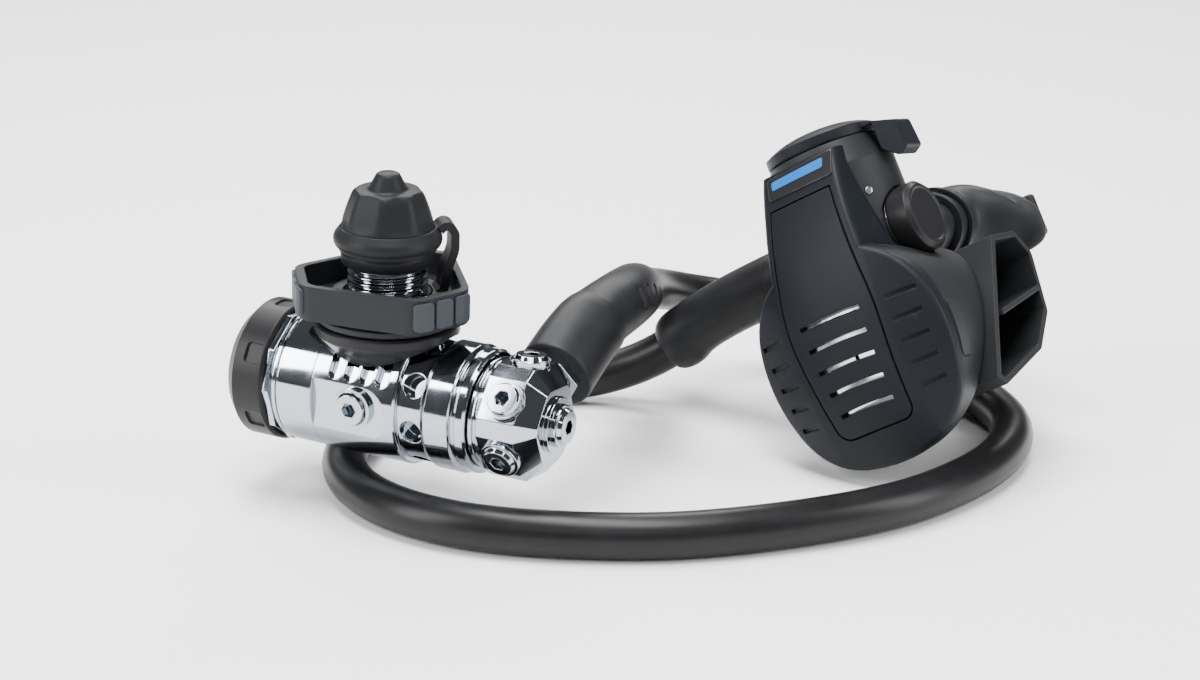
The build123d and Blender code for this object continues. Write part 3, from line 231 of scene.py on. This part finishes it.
# ------------------------------------------------------------------ hose protectors
# Two moulded rubber sleeves pushed over the hose's ends. The first flares over its fitting and has
# four vent slots on its bend; the second is plain with a rolled lip.
def line_of(curve):
    """The points along a curve's own line, start to end."""
    bare = curve.data.copy()
    bare.bevel_depth = 0
    carrier = bpy.data.objects.new("bare line", bare)
    bpy.context.scene.collection.objects.link(carrier)
    mesh = bpy.data.meshes.new_from_object(carrier)
    line = [vertex.co.copy() for vertex in mesh.vertices]
    bpy.data.objects.remove(carrier)
    bpy.data.meshes.remove(mesh)
    return line


hose_line = line_of(hose)
hose_reach = [0.0]
for before, after in zip(hose_line, hose_line[1:]):
    hose_reach.append(hose_reach[-1] + (after - before).length)
hose_length = hose_reach[-1]


def on_hose(distance):
    """The point at that distance along the hose's line, and the line's direction there."""
    step = 1
    while step < len(hose_line) - 1 and hose_reach[step] < distance:
        step += 1
    run = (hose_line[step] - hose_line[step - 1]).normalized()
    return hose_line[step - 1] + run * (distance - hose_reach[step - 1]), run


def smooth_direction(distance, spread=2.5 * mm):
    """The hose's direction, evened out over a few millimetres."""
    return (on_hose(distance + spread)[0] - on_hose(distance - spread)[0]).normalized()


def linked(mesh, name):
    """A mesh as an object of the scene."""
    piece = bpy.data.objects.new(name, mesh)
    bpy.context.scene.collection.objects.link(piece)
    return piece


def turned(bm, profile, steps=96):
    """Turns a profile of (radius, height) points full circle round Z, closed at every seam."""
    ring = [bm.verts.new((radius, 0, height)) for radius, height in profile]
    edges = [bm.edges.new(pair) for pair in zip(ring, ring[1:])]
    bmesh.ops.spin(bm, geom=ring + edges, cent=(0, 0, 0), axis=(0, 0, 1), angle=math.tau, steps=steps,
                   use_merge=True)
    bmesh.ops.remove_doubles(bm, verts=bm.verts[:], dist=0.001 * mm)


def finished(bm, name, material, smooth_angle=math.radians(35)):
    """A bmesh as a linked piece: faces outwards, shaded smooth but for its sharp edges."""
    bmesh.ops.recalc_face_normals(bm, faces=bm.faces[:])
    for face in bm.faces:
        face.smooth = True
    mesh = bpy.data.meshes.new(name)
    bm.to_mesh(mesh)
    bm.free()
    mesh.set_sharp_from_angle(angle=smooth_angle)
    mesh.materials.append(material)
    return linked(mesh, name)


def filled(profile, spacing):
    """The profile with its long runs divided, so that it can follow a bend."""
    points = [profile[0]]
    for (r0, h0), (r1, h1) in zip(profile, profile[1:]):
        parts = max(1, math.ceil(abs(h1 - h0) / spacing))
        points += [(r0 + (r1 - r0) * k / parts, h0 + (h1 - h0) * k / parts) for k in range(1, parts + 1)]
    return points


def step_down(value, edge, softness):
    """1 below the edge and 0 above it, over a smooth step."""
    t = min(1, max(0, (edge + softness - value) / (2 * softness)))
    return t * t * (3 - 2 * t)


def sleeve(name, node, profile, slots=()):
    """A rubber tube turned from its outer profile and bent onto the hose. Distances run along the
    hose's line; a slot is (distance, depth), cut across the side that faces forward."""
    bore = hose_diameter / 2 + 0.05 * mm
    rims = [(bore, profile[0][1])] + profile + [(bore, profile[-1][1])]
    bm = bmesh.new()
    turned(bm, filled(rims, 0.5 * mm) + [rims[0]])
    slot_half, slot_width = 3.4 * mm, 0.55 * mm
    for vertex in bm.verts:
        across_x, across_y, distance = vertex.co
        centre, _ = on_hose(distance)
        run = smooth_direction(distance)
        front = Vector((0.0, -1.0, 0.15))
        front = (front - front.dot(run) * run).normalized()
        side = run.cross(front)
        radius = math.hypot(across_x, across_y)
        turn = math.atan2(across_y, across_x)
        if radius > bore + 0.3 * mm:
            for slot_at, depth in slots:
                into = step_down(abs(distance - slot_at), slot_width, 0.3 * mm)
                into *= step_down(abs(turn) * radius, slot_half, 0.35 * mm)
                radius -= depth * into
        vertex.co = centre + front * radius * math.cos(turn) + side * radius * math.sin(turn)
    piece = finished(bm, name, sleeve_rubber)
    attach(piece, "hose_line")
    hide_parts(node)
    return piece


sleeve_rubber = moulded_rubber("sleeve rubber", (0.008, 0.008, 0.009), (0.014, 0.015, 0.016), 0.36,
                               0.4 * mm, 0.02 * mm)
first_profile = [(8.6, -7.6), (10.7, -7.6), (11.1, -7.2), (11.2, -6.4), (11.1, 4.0), (10.9, 14.0),
                 (10.6, 17.0), (10.1, 19.0), (9.8, 21.0), (9.6, 24.0), (9.3, 40.0), (9.0, 52.0), (8.7, 56.0),
                 (8.1, 58.8), (7.4, 60.4), (6.9, 61.0)]
first_sleeve = sleeve("first_protector", "first_sleeve", [(r * mm, d * mm) for r, d in first_profile],
                      slots=[(distance * mm, 0.9 * mm) for distance in (32.0, 37.0, 42.0, 47.0)])
sleeve_head = hose_length
second_profile = [(7.0, 45.6), (7.8, 45.2), (8.6, 44.2), (9.2, 42.8), (9.6, 41.0), (9.7, 39.0), (9.5, 37.0),
                  (9.2, 35.0), (9.1, 30.0), (9.2, 10.0), (9.25, 0.0)]
second_sleeve = sleeve("second_protector", "second_sleeve",
                       [(r * mm, sleeve_head - d * mm) for r, d in second_profile])


# The nut turns on the hose's end and draws it onto the valve barrel. It is a small plated hexagon, and
# a rubber cuff in one with the second protector hides it right up to the case.
def polished(name, colour, rough, place, edge=0.4):
    """Bright metal: turning lines across X, a slight smear and softened edges that catch light."""
    paint = Paint(name, Metallic=1.0)
    point = paint.coordinates(place)
    smear = paint.grain(point, 9 * mm, 2.0, 0.5)
    stretched = paint.node("ShaderNodeVectorMath", {"operation": "MULTIPLY"},
                           {0: point, 1: (1 / (0.10 * mm), 1 / (30 * mm), 1 / (30 * mm))})
    lines = paint.node("ShaderNodeTexNoise", {}, {"Vector": stretched, "Scale": 1.0, "Detail": 1.0})
    shade = [value * 0.93 for value in colour]
    paint.set("Base Color", paint.mix(smear, (*colour, 1), (*shade, 1)))
    paint.set("Roughness", rough + smear.above(0.55, 0.2) * 0.04)
    paint.set("Normal", paint.relief(lines, 0.0005 * mm, paint.rounded_edges(edge * mm)))
    return paint.material


stage_steel = polished("stage steel", (0.68, 0.69, 0.71), 0.14, second_stage)


def round_valve(name, profile, material, steps=96):
    """A piece turned round the second stage's valve axis: (radius, place along it), in mm."""
    bm = bmesh.new()
    turned(bm, [(radius * mm, along * mm) for radius, along in profile + profile[:1]], steps)
    along_valve = second_stage @ Matrix.Rotation(math.radians(90), 4, "Y")
    bmesh.ops.transform(bm, matrix=along_valve, verts=bm.verts[:])
    piece = finished(bm, name, material)
    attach(piece, "hose_line")
    return piece


cuff_profile = [(8.55, -31.0), (9.25, -31.0), (9.25, -22.9), (8.95, -22.3), (8.55, -22.3)]
cuff = round_valve("nut_cuff", cuff_profile, sleeve_rubber)
nut_profile = [(2.9, -31.0), (8.4, -31.0), (8.4, -22.4), (7.8, -22.4), (7.8, -28.0), (2.9, -28.0)]
nut = round_valve("swivel_nut", nut_profile, stage_steel, steps=6)
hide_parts("hose_nut")


# ------------------------------------------------------------------ first stage
# Spring housing, body, turret and plugs: brass, turned and milled, then chromed and polished to a
# mirror. Faint turning lines run round the body's axis.
def dress(material, *names):
    """Gives CAD nodes a material."""
    for name in names:
        mesh = nodes[name].data
        mesh.materials.clear()
        mesh.materials.append(material)


chrome = polished("chrome", (0.40, 0.43, 0.475), 0.055, first_stage)
dress(chrome, "spring_housing", "first_stage_body", "gauge_plugs", "din_stem", "turret", "lp_plugs",
      "axial_plug", "swivel_bolt", "hose_fitting")
brass = polished("machined brass", (0.73, 0.55, 0.27), 0.22, first_stage)
dress(brass, "adjusting_ring", "balance_plug", "spring_pad", "valve_seat")
bright_steel = polished("bright steel", (0.66, 0.67, 0.69), 0.16, first_stage)
dress(bright_steel, "main_spring", "inlet_filter", "filter_clip")


# Moulded covers of the first stage: the black spring cap and the saddle under the handwheel, both
# hard nylon with a fine even grain.
def moulding(name, colour, worn, rough, grain_size, depth, edge=0.5, gloss=0.17):
    """Hard moulded plastic: fine grain, a slightly uneven tone and softened edges."""
    paint = Paint(name, Specular_IOR_Level=gloss)
    point = paint.coordinates()
    cloud = paint.grain(point, 30 * mm, 3.0, 0.6)
    fine = paint.grain(point, grain_size, 2.0, 0.6)
    paint.set("Base Color", paint.mix(cloud * 0.5 + fine * 0.5, (*colour, 1), (*worn, 1)))
    paint.set("Roughness", rough + cloud * 0.08)
    paint.set("Normal", paint.relief(fine, depth, paint.rounded_edges(edge * mm)))
    return paint.material


cap_black = moulding("cap moulding", (0.008, 0.008, 0.009), (0.014, 0.014, 0.015), 0.36, 0.5 * mm, 0.02 * mm)
dress(cap_black, "end_cap", "inlet_saddle")
inner_white = moulding("inner moulding", (0.6, 0.6, 0.58), (0.7, 0.7, 0.68), 0.4, 0.5 * mm, 0.01 * mm)
dress(inner_white, "load_transmitter", "lifter", "valve_poppet", "demand_poppet")
soft_rubber = moulded_rubber("diaphragm rubber", (0.014, 0.015, 0.017), (0.024, 0.025, 0.028), 0.42, 0.5 * mm,
                             0.02 * mm)
dress(soft_rubber, "outer_diaphragm", "main_diaphragm", "swivel_o_rings", "din_o_ring")

# ------------------------------------------------------------------ inlet
# Handwheel: a satin over-moulding with softer pads, on a chromed coupling whose thread screws into
# the cylinder valve. The rubber cap and its tether keep the thread clean.
wheel_grey = moulding("wheel moulding", (0.009, 0.010, 0.012), (0.015, 0.0165, 0.0195), 0.46, 0.5 * mm,
                      0.03 * mm, edge=0.7)
dress(wheel_grey, "handwheel")
pad_grey = moulding("grip pads", (0.028, 0.031, 0.038), (0.040, 0.044, 0.052), 0.5, 0.5 * mm, 0.03 * mm)
dress(pad_grey, "grip_pads")


# Tether: a rubber strap from the saddle to the cap.
cap_rubber = moulded_rubber("cap rubber", (0.0065, 0.007, 0.008), (0.012, 0.0125, 0.014), 0.42, 0.5 * mm,
                            0.02 * mm)


def soft_copy(node, material):
    """A copy of a soft CAD node with a material of its own, shown in place of the hidden node."""
    piece = linked(nodes[node].data.copy(), node + "_soft")
    piece.data.materials.clear()
    piece.data.materials.append(material)
    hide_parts(node)
    return piece


tether = soft_copy("cap_tether", cap_rubber)
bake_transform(tether)

# Dust cap: a rubber moulding that plugs the inlet. Its cone has eight flats to grip it by, between a
# skirt with two lips and a small stepped crown.
cap_skirt = [(0, 48.4), (10.5, 48.4), (10.5, 40.7), (11.75, 40.3), (11.75, 38.2), (12.5, 38.2),
             (12.9, 38.5), (13.3, 41.4), (12.9, 41.8), (12.9, 42.2), (13.8, 42.4), (13.8, 43.4),
             (13.1, 43.6), (13.1, 49.0)]
cap_cone = [(13.0, 49.4), (12.85, 50.0), (12.55, 51.5), (11.9, 53.6), (11.2, 55.6), (10.5, 57.4),
            (10.1, 58.3)]
cap_crown = [(9.6, 59.0), (8.9, 59.35), (7.6, 59.4), (5.9, 59.3), (5.5, 59.7), (5.2, 60.2), (3.75, 63.0),
             (3.3, 63.8), (2.6, 64.2), (0, 64.3)]
grip_sides, grip_sink, rim_radius = 8, 0.55 * mm, 9.5 * mm
bm = bmesh.new()
turned(bm, [(r * mm, h * mm) for r, h in cap_skirt + cap_cone + cap_crown])
cone_foot, cone_head = cap_cone[1][1] * mm, cap_cone[-1][1] * mm
for vertex in bm.verts:
    x, y, z = vertex.co
    radius = math.hypot(x, y)
    if cone_foot < z < cone_head + 0.9 * mm and radius > rim_radius:
        off_flat = (math.atan2(y, x) * grip_sides / math.tau + 0.5) % 1 - 0.5
        flat_reach = (radius - grip_sink) / math.cos(off_flat * math.tau / grip_sides)
        vertex.co.xy *= min(1, flat_reach / radius)
bmesh.ops.transform(bm, matrix=first_stage, verts=bm.verts[:])
cap = finished(bm, "cap_moulding", cap_rubber, smooth_angle=math.radians(50))
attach(cap, "din_cap")
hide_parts("dust_cap")

# Threaded coupling: the chromed ring that the handwheel turns, with its G 5/8 thread as one ridge wound
# up a plain barrel.
thread_r, thread_pitch, thread_depth, thread_steps = 11.45 * mm, 1.814 * mm, 1.0 * mm, 72
thread_foot, thread_head = 30.0 * mm, 39.3 * mm
collar = [(7.9, 21.9), (13.5, 21.9), (13.5, 25.0), (12.3, 25.0), (12.3, 30.0)]
bm = bmesh.new()
turned(bm, [(r * mm, h * mm) for r, h in collar] + [
    (thread_r - thread_depth, thread_foot), (thread_r - thread_depth, thread_head + 0.6 * mm),
    (7.9 * mm, thread_head + 0.6 * mm), (7.9 * mm, 21.9 * mm)])
turns = (thread_head - thread_foot - thread_pitch) / thread_pitch
crest = [bm.verts.new((radius, 0, thread_foot + height)) for radius, height in (
    (thread_r - 1.1 * thread_depth, 0.05 * thread_pitch), (thread_r - 0.1 * mm, 0.42 * thread_pitch),
    (thread_r - 0.1 * mm, 0.58 * thread_pitch), (thread_r - 1.1 * thread_depth, 0.95 * thread_pitch))]
ridge = [bm.edges.new((crest[k], crest[(k + 1) % 4])) for k in range(4)]
start_face = bm.faces.new(crest)
spun = bmesh.ops.spin(bm, geom=crest + ridge, cent=(0, 0, 0), axis=(0, 0, 1),
                      dvec=(0, 0, thread_pitch / thread_steps), angle=math.tau * turns,
                      steps=round(thread_steps * turns))
bm.faces.new([item for item in spun["geom_last"] if isinstance(item, bmesh.types.BMVert)])
bmesh.ops.transform(bm, matrix=first_stage, verts=bm.verts[:])
coupling = finished(bm, "threaded_ring", chrome)
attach(coupling, "din_wheel")
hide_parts("threaded_coupling")

# ------------------------------------------------------------------ second stage
# Case, exhaust tee and cover: glass-filled nylon, charcoal and matte behind, blue-black and finer in
# front. The cover latches on and is locked by two pins.
case_black = moulding("case moulding", (0.0085, 0.0092, 0.0105), (0.015, 0.016, 0.018), 0.44, 0.35 * mm,
                      0.05 * mm)
dress(case_black, "case", "exhaust_tee", "clamp_ring", "cover_clips", "venturi_vane", "mouthpiece_tie")
cover_black = moulding("cover moulding", (0.0045, 0.0055, 0.008), (0.008, 0.0095, 0.013), 0.42, 0.35 * mm,
                       0.05 * mm, edge=0.6, gloss=0.13)
dress(cover_black, "front_cover", "purge_panel", "venturi_lever")
knob_black = moulding("knob moulding", (0.008, 0.008, 0.009), (0.013, 0.013, 0.014), 0.32, 0.5 * mm,
                      0.02 * mm)
dress(knob_black, "effort_knob")
dress(stage_steel, "lock_pins", "knob_ring", "demand_lever", "lever_pin", "diaphragm_disc",
      "backing_plate")
barrel_brass = polished("barrel brass", (0.73, 0.55, 0.27), 0.22, second_stage)
dress(barrel_brass, "valve_barrel", "seat_orifice", "adjust_spindle")
mouth_rubber = moulded_rubber("mouth silicone", (0.011, 0.012, 0.013), (0.019, 0.020, 0.022), 0.40, 0.5 * mm,
                              0.02 * mm)
dress(mouth_rubber, "diaphragm", "exhaust_valve")


# ------------------------------------------------------------------ mouthpiece
# Mouthpiece: soft silicone, clamped on the case's tube by its tie. It swells behind the lips, and its
# flange droops at both ends to follow the gum; two bite lugs stand on the flange.
ring_points = 96


def mouth_ring(bm, along, half_x, half_z, drop=0.0, droop=0.0, fullness=2.0):
    """One closed section, all sizes in mm: an ellipse, or squarer where the fullness is above 2."""
    ring = []
    for step in range(ring_points):
        turn = math.tau * step / ring_points
        x = math.copysign(abs(math.cos(turn)) ** (2 / fullness), math.cos(turn))
        z = math.copysign(abs(math.sin(turn)) ** (2 / fullness), math.sin(turn))
        height = half_z * z - drop - droop * x * x
        ring.append(bm.verts.new((half_x * x * mm, along * mm, height * mm)))
    return ring


neck = [(38.0, 15.6, 12.0), (44.0, 15.4, 11.8), (48.5, 15.3, 11.7), (50.5, 16.2, 12.1),
        (53.0, 19.0, 13.0, 0.4)]
bulge = [(55.5, 22.4, 13.6, 1.0, 0.5), (57.5, 24.6, 13.0, 2.0, 1.5, 2.1), (59.0, 25.8, 11.8, 2.8, 3.0, 2.2)]
flange = [(60.3, 27.4, 11.5, 3.3, 4.6, 2.4), (61.2, 29.0, 12.2, 3.5, 5.6, 2.6),
          (62.2, 29.6, 12.6, 3.5, 6.0, 2.6), (63.3, 29.4, 12.4, 3.5, 6.0, 2.6),
          (63.9, 28.7, 11.8, 3.5, 5.9, 2.6), (64.0, 27.4, 10.8, 3.5, 5.7, 2.6)]
mouth_bore = [(64.0, 15.4, 7.4, 3.0, 0.6), (63.6, 14.6, 6.7, 3.0), (48.2, 11.2, 7.6), (48.2, 13.5, 9.9),
              (38.0, 13.5, 9.9)]
bm = bmesh.new()
rings = [mouth_ring(bm, *section) for section in neck + bulge + flange + mouth_bore]
for near, far in zip(rings, rings[1:] + rings[:1]):
    for k in range(ring_points):
        after = (k + 1) % ring_points
        bm.faces.new((near[k], near[after], far[after], far[k]))
lug_x, lug_drop, lug_rounding = 20.0, 6.0, 1.2 * mm
lug_blocks = [(63.5, 73.5, 6.0, 9.0), (73.0, 76.5, 7.5, 14.0)]     # near and far end, width and height
for hand in (1, -1):
    for near, far, wide, tall in lug_blocks:
        made = bmesh.ops.create_cube(bm, size=1)["verts"]
        for vertex in made:
            vertex.co = (hand * lug_x * mm + vertex.co.x * wide * mm, (near + far) / 2 * mm
                         + vertex.co.y * (far - near) * mm, -lug_drop * mm + vertex.co.z * tall * mm)
        edges = list({edge for vertex in made for edge in vertex.link_edges})
        bmesh.ops.bevel(bm, geom=edges, offset=lug_rounding, segments=4, profile=0.5, affect="EDGES")
bmesh.ops.transform(bm, matrix=second_stage, verts=bm.verts[:])
mouth = finished(bm, "mouth_moulding", mouth_rubber, smooth_angle=math.radians(50))
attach(mouth, "second_stage")
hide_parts("mouthpiece")


# ------------------------------------------------------------------ springs
# Wound steel springs that a moving part compresses. Each is a soft copy of its CAD node, attached to its
# stage with a mesh of its own.
def compressed(node, material, place):
    """A soft copy of a spring, attached to its stage with a mesh of its own."""
    spring = soft_copy(node, material)
    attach(spring, "first_stage" if place is first_stage else "second_stage")
    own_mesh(spring)


compressed("poppet_spring", bright_steel, first_stage)
compressed("valve_spring", stage_steel, second_stage)
compressed("purge_spring", stage_steel, second_stage)


# ------------------------------------------------------------------ name plate
# Name plate on the column's brow, left blank: a satin black plate with one plain blue bar, glued
# into the crowned face. Its corners are rounded and it follows the crown.
crown_axis_y, crown_axis_z, crown_radius, crown_fall = 71.3 * mm, -25.7 * mm, 104.5 * mm, 4.6


def crown_face(across, up):
    """How far back the cover's crowned face lies at that place, in the second stage's frame."""
    radius = crown_radius - crown_fall * across * across
    return crown_axis_y - math.sqrt(radius * radius - (up - crown_axis_z) ** 2)


def crowned_plate(name, corners, rounding, proud, material):
    """A thin plate over four corners (across, up), with rounded corners, that follows the crowned face
    and stands proud of it."""
    bm = bmesh.new()
    bmesh.ops.create_grid(bm, x_segments=36, y_segments=14, size=1)
    for vertex in bm.verts:
        u, v = vertex.co.xy
        past_u = (abs(u) - (1 - rounding[0])) / rounding[0]
        past_v = (abs(v) - (1 - rounding[1])) / rounding[1]
        if past_u > 0 and past_v > 0:
            pull = max(past_u, past_v) / math.hypot(past_u, past_v)
            u = math.copysign(1 - rounding[0] + past_u * pull * rounding[0], u)
            v = math.copysign(1 - rounding[1] + past_v * pull * rounding[1], v)
        weights = ((1 - u) * (1 - v) / 4, (1 + u) * (1 - v) / 4, (1 + u) * (1 + v) / 4, (1 - u) * (1 + v) / 4)
        x = sum(weight * corner[0] for weight, corner in zip(weights, corners)) * mm
        z = sum(weight * corner[1] for weight, corner in zip(weights, corners)) * mm
        vertex.co = (x, crown_face(x, z) - proud, z)
    sunk = bmesh.ops.extrude_face_region(bm, geom=bm.faces[:])
    moved = [item for item in sunk["geom"] if isinstance(item, bmesh.types.BMVert)]
    bmesh.ops.translate(bm, verts=moved, vec=(0, proud + 0.5 * mm, 0))
    bmesh.ops.transform(bm, matrix=second_stage, verts=bm.verts[:])
    piece = finished(bm, name, material)
    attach(piece, "second_stage")
    return piece


plate_black = moulding("plate lacquer", (0.010, 0.010, 0.011), (0.014, 0.014, 0.015), 0.26, 0.5 * mm,
                       0.005 * mm, gloss=0.35)
plate_blue = moulding("blue bar", (0.004, 0.11, 0.36), (0.006, 0.13, 0.40), 0.30, 0.5 * mm, 0.01 * mm)
plate_corners = [(-10.6, 19.6), (12.4, 19.5), (13.0, 27.0), (-10.9, 26.6)]
crowned_plate("name_plate", plate_corners, (0.08, 0.24), 0.35 * mm, plate_black)
bar_corners = [(-9.0, 22.5), (9.6, 22.7), (9.8, 25.6), (-9.2, 25.2)]
crowned_plate("plate_bar", bar_corners, (0.05, 0.35), 0.5 * mm, plate_blue)

# The pusher behind the purge panel shows in the middle slot, so its end has a bright foil like the
# backing plate's.
foil_centre = Vector((0, -31.85, -33.4))
foil_size = Vector((6.1, 0.1, 1.1))
bm = bmesh.new()
bmesh.ops.create_cube(bm, size=1)
for vertex in bm.verts:
    vertex.co = (foil_centre + vertex.co * foil_size) * mm
bmesh.ops.transform(bm, matrix=second_stage, verts=bm.verts[:])
foil = finished(bm, "pusher_foil", stage_steel)
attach(foil, "purge")

# ------------------------------------------------------------------ studio
# Pale floor and soft lights, which aren't part of the set.
bpy.ops.mesh.primitive_plane_add(size=12, location=(0, 0, 0))
floor = bpy.context.object
floor.name = "floor"
floor_paint = Paint("floor paper", Base_Color=(0.93, 0.93, 0.93, 1), Roughness=0.9)
floor.data.materials.append(floor_paint.material)
world = bpy.data.worlds.new("studio")
bpy.context.scene.world = world
world.use_nodes = True
world.node_tree.nodes["Background"].inputs["Color"].default_value = (0.9, 0.95, 1, 1)
world.node_tree.nodes["Background"].inputs["Strength"].default_value = 0.13


def soft_box(name, size, power, location, target):
    """A rectangular soft light aimed at a point."""
    light = bpy.data.lights.new(name, "AREA")
    light.shape, light.size, light.size_y = "RECTANGLE", *size
    light.energy = power
    lamp = bpy.data.objects.new(name, light)
    lamp.location = location
    lamp.rotation_euler = (Vector(target) - Vector(location)).to_track_quat("-Z", "Y").to_euler()
    bpy.context.scene.collection.objects.link(lamp)


soft_box("overhead box", (1.1, 0.35), 36, (-0.1, -0.05, 1.15), (0, 0, 0.03))
soft_box("back box", (1.6, 0.35), 26, (0.0, 1.1, 0.95), (0, 0, 0.03))
soft_box("left box", (0.25, 0.9), 16, (-1.0, -0.45, 0.55), (0, 0, 0.05))
soft_box("right box", (0.22, 0.9), 13, (1.0, -0.35, 0.5), (0, 0, 0.05))
soft_box("front strip", (0.9, 0.10), 3, (-0.1, -1.1, 0.9), (0, 0, 0.04))
